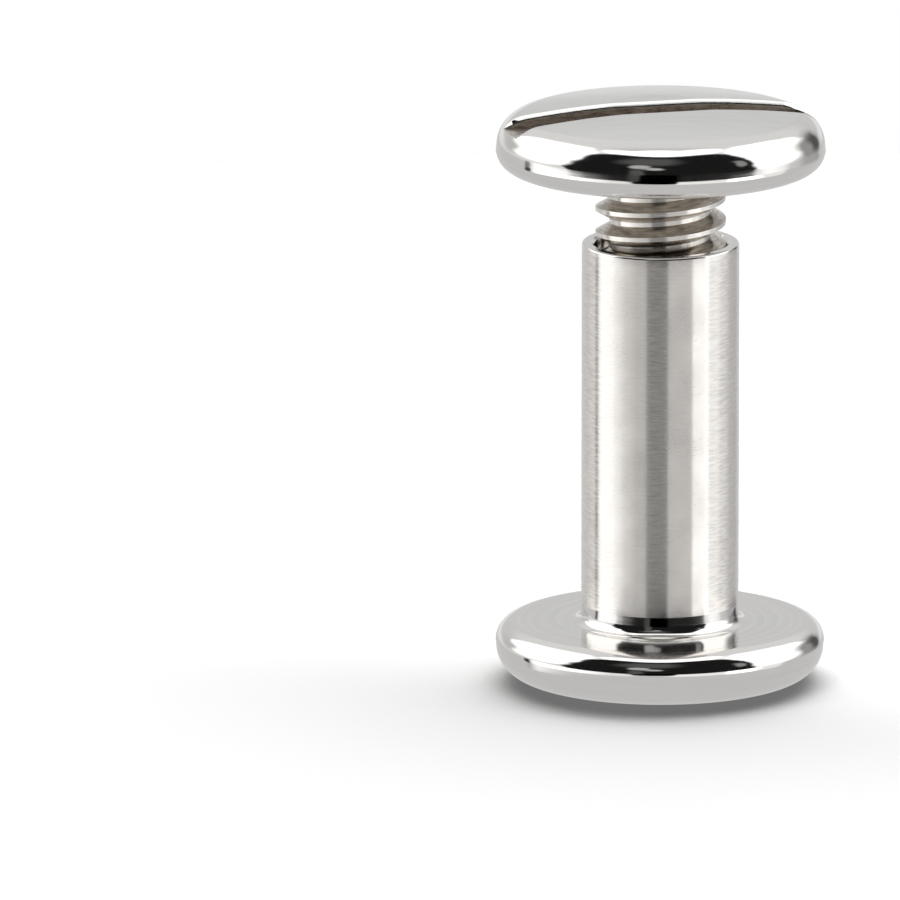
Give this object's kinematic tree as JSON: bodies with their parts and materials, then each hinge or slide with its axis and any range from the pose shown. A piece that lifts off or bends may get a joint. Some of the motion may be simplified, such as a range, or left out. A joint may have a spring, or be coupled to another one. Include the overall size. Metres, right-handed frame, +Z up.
{
  "type": "binding barrel screw",
  "caption": "Binding barrel screw: a headed post with a blind threaded bore, closed by a slotted screw, modelled partly unscrewed and standing on the post's head.",
  "frame": {"origin": "centre of the barrel's foot, on the common axis, where the flat of its head rests", "axes": "+Z up the common axis from the barrel's head to the slotted head; the slot runs near X, turned 14.5 degrees from +X towards +Y"},
  "size_m": [0.0104, 0.0104, 0.0187],
  "materials": {
    "barrel_metal": "bright nickel plate: finely brushed post wall, polished head, band and foot fillet, turned inner face",
    "screw_metal": "bright nickel plate: polished rim, satin crown, bright thread"
  },
  "bodies": {
    "barrel": {"barrel": "barrel_metal"},
    "screw": {"screw": "screw_metal"}
  },
  "joints": [
    {"name": "screw_travel", "type": "slide", "parent": "barrel", "child": "screw", "axis": [0, 0, 1], "range_m": [-0.00238, 0.00556]}
  ]
}
